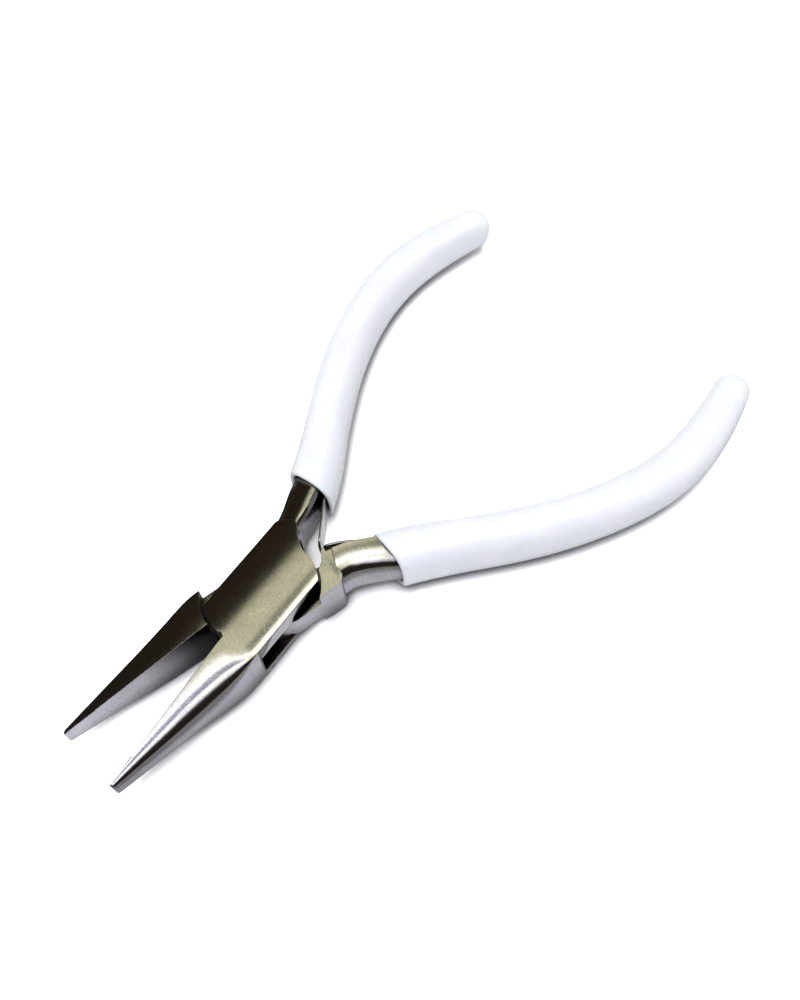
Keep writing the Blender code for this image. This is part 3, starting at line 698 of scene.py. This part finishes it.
def painted_throat_shade(tree, place, upward):
    """Painted shade: a grey that falls towards the joint on the jaw's flat face and is white elsewhere."""
    here = node(tree, "ShaderNodeSeparateXYZ")
    tree.links.new(place, here.inputs[0])
    from_plane = math_node(tree, "ABSOLUTE", here.outputs["Y"])
    aside = spread(tree, from_plane, FLAT_FACE[0] * MM, FLAT_FACE[1] * MM)
    along = spread(tree, here.outputs["X"], THROAT_DARK * MM, THROAT_CLEAR * MM)
    behind = spread(tree, here.outputs["X"], THROAT_BACK[0] * MM, THROAT_BACK[1] * MM, 1.0, 0.0)
    open_face = math_node(tree, "MAXIMUM", math_node(tree, "MAXIMUM", aside, behind), upward)
    return math_node(tree, "MAXIMUM", open_face, along)


def ground_steel(name, half, top_colour, side_colour, grain_mm, roughness, anisotropy,
                 shaded=(5.0, 1.0)):
    """Satin ground steel, with painted light in its colour: warm on its top and bottom faces and cooler on its
    sides, standing in for the light they mirror, and painted shade in gaps and on the jaws' flat faces towards the
    joint.
    """
    made, tree, shader, place = new_material(name, half)
    grain = noise(tree, place, grain_mm, 3.0, 0.6)
    fine = noise(tree, place, [size * 0.45 for size in grain_mm], 2.0, 0.5)
    speckle = noise(tree, place, (0.2, 0.2, 0.2), 2.0, 0.6)
    mottle = noise(tree, place, (4.0, 3.0, 3.0), 3.0, 0.55)

    normal = node(tree, "ShaderNodeSeparateXYZ")
    tree.links.new(node(tree, "ShaderNodeNewGeometry").outputs["Normal"], normal.inputs[0])
    upward = math_node(tree, "ABSOLUTE", normal.outputs["Z"])
    along = node(tree, "ShaderNodeSeparateXYZ")
    tree.links.new(place, along.inputs[0])
    # painted light: faces turned up or down take the warm top tone, upright sides the side tone, standing in for
    # what they mirror
    in_jaw = spread(tree, along.outputs["X"], JOINT_TONE_END * MM, JAW_TONE_START * MM)
    top_tone = mix_colour(tree, in_jaw, top_colour, JAW_TONE)
    tone = mix_colour(tree, spread(tree, upward, 0.35, 0.85), side_colour, top_tone)
    value = math_node(tree, "MULTIPLY", spread(tree, grain, 0.3, 0.7, 0.86, 1.06),
                      spread(tree, mottle, 0.3, 0.75, 0.9, 1.04))
    value = math_node(tree, "MULTIPLY", value, spread(tree, speckle, 0.3, 0.75, 0.84, 1.08))
    # painted shade: darker in gaps and recesses, and on the jaws' flat faces towards the joint
    value = math_node(tree, "MULTIPLY", value, painted_recess_shade(tree, *shaded))
    value = math_node(tree, "MULTIPLY", value, painted_throat_shade(tree, place, upward))
    grey = node(tree, "ShaderNodeCombineColor")
    for socket in grey.inputs:
        tree.links.new(value, socket)
    tree.links.new(mix_colour(tree, 1.0, tone, grey.outputs[0], "MULTIPLY"), shader.inputs["Base Color"])

    rough = math_node(tree, "ADD", spread(tree, fine, 0.25, 0.75, -0.04, 0.05),
                      spread(tree, mottle, 0.3, 0.75, roughness + 0.03, roughness - 0.02))
    rough = math_node(tree, "ADD", rough, spread(tree, speckle, 0.45, 0.8, 0.0, 0.06))
    tree.links.new(rough, shader.inputs["Roughness"])

    relief = math_node(tree, "MULTIPLY_ADD", speckle, 0.3, grain)
    relief = math_node(tree, "MULTIPLY_ADD", fine, 0.6, relief)
    bump = node(tree, "ShaderNodeBump")
    bump.inputs["Strength"].default_value = 0.35
    bump.inputs["Distance"].default_value = 0.006 * MM
    tree.links.new(relief, bump.inputs["Height"])
    tree.links.new(bump.outputs["Normal"], shader.inputs["Normal"])

    shader.inputs["Metallic"].default_value = 1.0
    shader.inputs["Anisotropic"].default_value = anisotropy
    shader.inputs["Anisotropic Rotation"].default_value = 0.25
    tangent = node(tree, "ShaderNodeTangent", direction_type="RADIAL", axis="X")
    tree.links.new(tangent.outputs["Tangent"], shader.inputs["Tangent"])
    return made


# the coating's colour varies slowly between these
PVC_SAGGED = (0.46, 0.475, 0.515)
PVC_FULL = (0.5, 0.51, 0.535)


def dipped_pvc(name):
    """Thick white dipped coating: glossy, faintly uneven, slightly translucent."""
    made, tree, shader, place = new_material(name, "outer")
    sag = noise(tree, place, (9.0, 5.0, 5.0), 2.0, 0.5)
    peel = noise(tree, place, (1.1, 0.8, 0.8), 2.0, 0.5)
    dust = noise(tree, place, (0.12, 0.12, 0.12), 1.0, 0.5)
    tree.links.new(mix_colour(tree, spread(tree, sag, 0.3, 0.7), PVC_SAGGED, PVC_FULL),
                   shader.inputs["Base Color"])
    rough = math_node(tree, "ADD", spread(tree, peel, 0.3, 0.7, 0.2, 0.27),
                      spread(tree, dust, 0.55, 0.8, 0.0, 0.12))
    tree.links.new(rough, shader.inputs["Roughness"])
    relief = math_node(tree, "MULTIPLY_ADD", peel, 0.25, sag)
    bump = node(tree, "ShaderNodeBump")
    bump.inputs["Strength"].default_value = 0.5
    bump.inputs["Distance"].default_value = 0.12 * MM
    tree.links.new(relief, bump.inputs["Height"])
    tree.links.new(bump.outputs["Normal"], shader.inputs["Normal"])
    shader.inputs["IOR"].default_value = 1.52
    shader.inputs["Subsurface Weight"].default_value = 0.12
    shader.inputs["Subsurface Scale"].default_value = 0.8 * MM
    shader.inputs["Coat Weight"].default_value = 0.25
    shader.inputs["Coat Roughness"].default_value = 0.12
    return made


# painted light: lighter, warmer tops and darker, cooler sides
HALF_STEEL = {
    half: ground_steel("satin_ground_steel_" + half, half, (0.66, 0.64, 0.55), (0.42, 0.41, 0.435),
                       (0.16, 0.8, 0.8), 0.14, 0.7)
    for half in HALF_FRAMES
}
# rougher milled steel for the slot, the reliefs and the hollowed shoulders; its near-black colour is painted shade
SHADED_SLOT_STEEL = ground_steel("milled_slot_steel_painted_shade", "outer", (0.12, 0.1, 0.085), (0.1, 0.085, 0.08),
                          (0.3, 0.3, 1.2), 0.36, 0.0, shaded=(5.0, 1.4))
PIN_STEEL = ground_steel("ground_pin_steel", "outer", (0.58, 0.57, 0.52), (0.45, 0.44, 0.46),
                         (0.15, 1.0, 1.0), 0.28, 0.2)
LEAF_STEEL = ground_steel("rolled_spring_steel", "outer", (0.82, 0.81, 0.77), (0.84, 0.83, 0.8),
                          (1.8, 0.12, 0.12), 0.18, 0.2)
RIVET_STEEL = ground_steel("upset_rivet_steel", "outer", (0.55, 0.55, 0.54), (0.55, 0.55, 0.55),
                           (0.2, 0.2, 0.2), 0.34, 0.0)
WHITE_PVC = dipped_pvc("white_dipped_pvc")


# ---------------------------------------------------------------- pieces
for half, made, node_name in (("outer", outer_half(), "outer_half"), ("inner", inner_half(), "inner_half"),
                              ("outer", smooth_shade(pivot_pin()), "pivot_pin")):
    steel = PIN_STEEL if node_name == "pivot_pin" else HALF_STEEL[half]
    dress(made, steel, half)
    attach(made, half + "_half")
    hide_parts(node_name)

for half, side, blade in (("outer", -1, OUTER_BLADE), ("inner", 1, INNER_BLADE)):
    grip = dress(dipped_grip(f"grip_{half}_coating", side), WHITE_PVC, half)
    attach(grip, half + "_half")
    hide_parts("grip_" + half)
    leaf = dress(leaf_strip(f"leaf_{half}_strip", side, blade), LEAF_STEEL, half)
    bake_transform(leaf)
    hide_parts("spring_root_" + half, "spring_blade_" + half)
    rivet = frame["nodes"]["spring_rivet_" + half]
    rivet.data.materials.clear()
    rivet.data.materials.append(RIVET_STEEL)


# ---------------------------------------------------------------- floor, light and camera
FLOOR_SIZE = 3.0                         # metres
FLOOR_DROP = 0.05                        # mm from the object's lowest point down to the floor
FLOOR_COLOUR = (0.9, 0.905, 0.92)
PAINTED_SHADOW_COLOUR = (0.05, 0.05, 0.055)     # painted shadow: the floor in the narrow gap under the object
PAINTED_SHADOW_FALLOFF = (1.8, 1.5)               # reach in mm and depth of that painted shadow
MIRRORED_COLOUR = (0.96, 0.95, 1.0)      # the floor that the steel mirrors, a painted glow
PAINTED_UNLIT_COLOUR = (0.02, 0.016, 0.012)      # and where the painted shade under the pliers is darkest
# reach in mm and depth of that painted shade
PAINTED_UNLIT_FALLOFF = (3.2, 2.0)
# how the mirrored floor's painted light changes: from and to in mm along an axis, and its values there
LIT_FROM_Y = (-16.0, -10.0, 0.0, 1.0)    # none beyond the jaw on the -Y side
LIT_GRIPS_X = (-30.0, -15.0, 1.0, 0.0)   # except beside the grips
BETWEEN_X = (18.0, 34.0, 0.85, 1.35)     # between the jaws, brighter towards their tips
SIDE_Y = (2.0, 5.0, 0.0, 1.0)            # from between the jaws to the +Y side
OUTWARD_Y = (8.0, 24.0, 1.0, 0.5)        # on that side, dimmer away from the pliers
OUTWARD_X = (8.0, 34.0, 1.15, 0.62)      # and towards the tips


def mirrored_floor(tree):
    """Painted light: the floor as the steel mirrors it glows by itself, unevenly, with painted shade under the
    pliers and none beyond the jaw on the -Y side except beside the grips.
    """
    mirrored = node(tree, "ShaderNodeEmission")
    spot = node(tree, "ShaderNodeSeparateXYZ")
    tree.links.new(node(tree, "ShaderNodeNewGeometry").outputs["Position"], spot.inputs[0])

    def band(axis, low, high, at_low, at_high):
        return spread(tree, spot.outputs[axis], low * MM, high * MM, at_low, at_high)

    lit = math_node(tree, "MAXIMUM", band("Y", *LIT_FROM_Y), band("X", *LIT_GRIPS_X))
    glow = math_node(tree, "MULTIPLY", lit, painted_recess_shade(tree, *PAINTED_UNLIT_FALLOFF))
    outward = math_node(tree, "MULTIPLY", band("Y", *OUTWARD_Y), band("X", *OUTWARD_X))
    strength = node(tree, "ShaderNodeMix")
    tree.links.new(band("Y", *SIDE_Y), strength.inputs["Factor"])
    tree.links.new(band("X", *BETWEEN_X), strength.inputs["A"])
    tree.links.new(outward, strength.inputs["B"])
    tree.links.new(strength.outputs["Result"], mirrored.inputs["Strength"])
    tree.links.new(mix_colour(tree, glow, PAINTED_UNLIT_COLOUR, MIRRORED_COLOUR), mirrored.inputs["Color"])
    return mirrored


def studio_floor():
    """A pale floor with a thin painted shadow where the pliers touch it, over the lamps' own shadows."""
    half_size = FLOOR_SIZE / 2
    mesh = bpy.data.meshes.new("floor")
    corners = [(x * half_size, y * half_size, CAD_LOW.z - FLOOR_DROP * MM)
               for x, y in ((-1, -1), (1, -1), (1, 1), (-1, 1))]
    mesh.from_pydata(corners, [], [(0, 1, 2, 3)])
    floor = new_object("floor", mesh)
    material = bpy.data.materials.new("pale_floor")
    material.use_nodes = True
    tree = material.node_tree
    shader = tree.nodes["Principled BSDF"]
    painted_contact_shadow = painted_recess_shade(tree, *PAINTED_SHADOW_FALLOFF)
    tree.links.new(mix_colour(tree, painted_contact_shadow, PAINTED_SHADOW_COLOUR, FLOOR_COLOUR), shader.inputs["Base Color"])
    shader.inputs["Roughness"].default_value = 0.9
    shader.inputs["Specular IOR Level"].default_value = 0.1
    mirrored = mirrored_floor(tree)
    seen = node(tree, "ShaderNodeMixShader")
    tree.links.new(node(tree, "ShaderNodeLightPath").outputs["Is Glossy Ray"], seen.inputs["Fac"])
    tree.links.new(shader.outputs[0], seen.inputs[1])
    tree.links.new(mirrored.outputs[0], seen.inputs[2])
    tree.links.new(seen.outputs[0], tree.nodes["Material Output"].inputs["Surface"])
    floor.data.materials.append(material)


# soft panels in the studio's dark dome: azimuth, elevation, and the angles from their centre at
# which they are full and gone, with what they add
PANELS = (
    (158.0, 87.3, 27.5, 30.5, (0.8, 0.8, 0.62)),
    (10.0, 66.0, 22.0, 31.0, (1.2, 1.22, 1.55)),
    (20.0, 78.0, 5.0, 9.0, (-1.9, -1.9, -1.85)),
    (60.0, 88.0, 4.5, 9.0, (0.7, 0.7, 0.8)),
    (155.0, 74.0, 7.0, 11.5, (1.6, 1.6, 1.7)),
    (-145.0, 75.0, 2.5, 6.0, (-0.74, -0.74, -0.56)),
    (90.0, -80.0, 90.0, 102.0, (0.36, 0.36, 0.38)),
)
DOME_SHADE = (0.026, 0.019, 0.014)       # the dome between the panels
BACKDROP = (1.0, 1.0, 1.0)


def from_angles(azimuth, elevation):
    a = math.radians(azimuth)
    e = math.radians(elevation)
    return Vector((math.cos(a) * math.cos(e), math.sin(a) * math.cos(e), math.sin(e)))


def studio_world():
    """A dark dome of soft panels, which the pliers mirror. The camera sees a white backdrop."""
    world = bpy.data.worlds.new("studio")
    bpy.context.scene.world = world
    world.use_nodes = True
    tree = world.node_tree
    dome = tree.nodes["Background"]
    direction = node(tree, "ShaderNodeTexCoord").outputs["Generated"]
    light = DOME_SHADE
    for azimuth, elevation, full, gone, colour in PANELS:
        toward = node(tree, "ShaderNodeVectorMath", operation="DOT_PRODUCT")
        toward.inputs[1].default_value = from_angles(azimuth, elevation)
        tree.links.new(direction, toward.inputs[0])
        edge = node(tree, "ShaderNodeMapRange", interpolation_type="SMOOTHSTEP")
        edge.inputs["From Min"].default_value = math.cos(math.radians(gone))
        edge.inputs["From Max"].default_value = math.cos(math.radians(full))
        tree.links.new(toward.outputs["Value"], edge.inputs["Value"])
        panel = node(tree, "ShaderNodeVectorMath", operation="MULTIPLY_ADD")
        panel.inputs[0].default_value = colour
        tree.links.new(edge.outputs["Result"], panel.inputs[1])
        if isinstance(light, bpy.types.NodeSocket):
            tree.links.new(light, panel.inputs[2])
        else:
            panel.inputs[2].default_value = light
        light = panel.outputs["Vector"]
    tree.links.new(light, dome.inputs["Color"])
    backdrop = node(tree, "ShaderNodeBackground")
    backdrop.inputs["Color"].default_value = (*BACKDROP, 1.0)
    mixed = node(tree, "ShaderNodeMixShader")
    tree.links.new(node(tree, "ShaderNodeLightPath").outputs["Is Camera Ray"], mixed.inputs["Fac"])
    tree.links.new(dome.outputs[0], mixed.inputs[1])
    tree.links.new(backdrop.outputs[0], mixed.inputs[2])
    tree.links.new(mixed.outputs[0], tree.nodes["World Output"].inputs["Surface"])


def soft_lamp(name, strength, azimuth, elevation, spread_angle):
    """A wide soft light from one direction, which the steel doesn't mirror."""
    lamp = bpy.data.lights.new(name, "SUN")
    lamp.energy = strength
    lamp.angle = math.radians(spread_angle)
    made = bpy.data.objects.new(name, lamp)
    bpy.context.scene.collection.objects.link(made)
    made.rotation_euler = from_angles(azimuth, elevation).to_track_quat("Z", "Y").to_euler()
    made.visible_glossy = False


studio_floor()
studio_world()
soft_lamp("key_lamp", strength=3.0, azimuth=158.0, elevation=87.3, spread_angle=50.0)
soft_lamp("tent_lamp", strength=2.4, azimuth=0.0, elevation=90.0, spread_angle=170.0)

CAMERA_PLACE = Vector((31.04, 74.66, 151.29)) * MM     # from the pivot
CAMERA_AZIMUTH = math.radians(-128.43)                 # the way it looks
CAMERA_DOWN = math.radians(58.67)
CAMERA_ROLL = math.radians(-8.15)
FOCAL_SHARE = 1.0996                                   # focal length over the frame's height

camera = bpy.data.cameras.new("camera")
camera_object = bpy.data.objects.new("camera", camera)
bpy.context.scene.collection.objects.link(camera_object)
ahead = Vector((math.cos(CAMERA_AZIMUTH), math.sin(CAMERA_AZIMUTH), 0.0))
right = Vector((ahead.y, -ahead.x, 0.0))
look = math.cos(CAMERA_DOWN) * ahead - Vector((0.0, 0.0, math.sin(CAMERA_DOWN)))
above = right.cross(look)
rolled_right = math.cos(CAMERA_ROLL) * right + math.sin(CAMERA_ROLL) * above
rolled_up = math.cos(CAMERA_ROLL) * above - math.sin(CAMERA_ROLL) * right
turn = Matrix((rolled_right, rolled_up, -look)).transposed().to_4x4()
camera_object.matrix_world = Matrix.Translation(PIVOT + CAMERA_PLACE) @ turn
camera.sensor_fit = "VERTICAL"
camera.sensor_height = 36.0
camera.lens = FOCAL_SHARE * camera.sensor_height
camera.clip_start = 0.001
camera.clip_end = 20.0
bpy.context.scene.camera = camera_object
bpy.context.scene.view_settings.view_transform = "Standard"
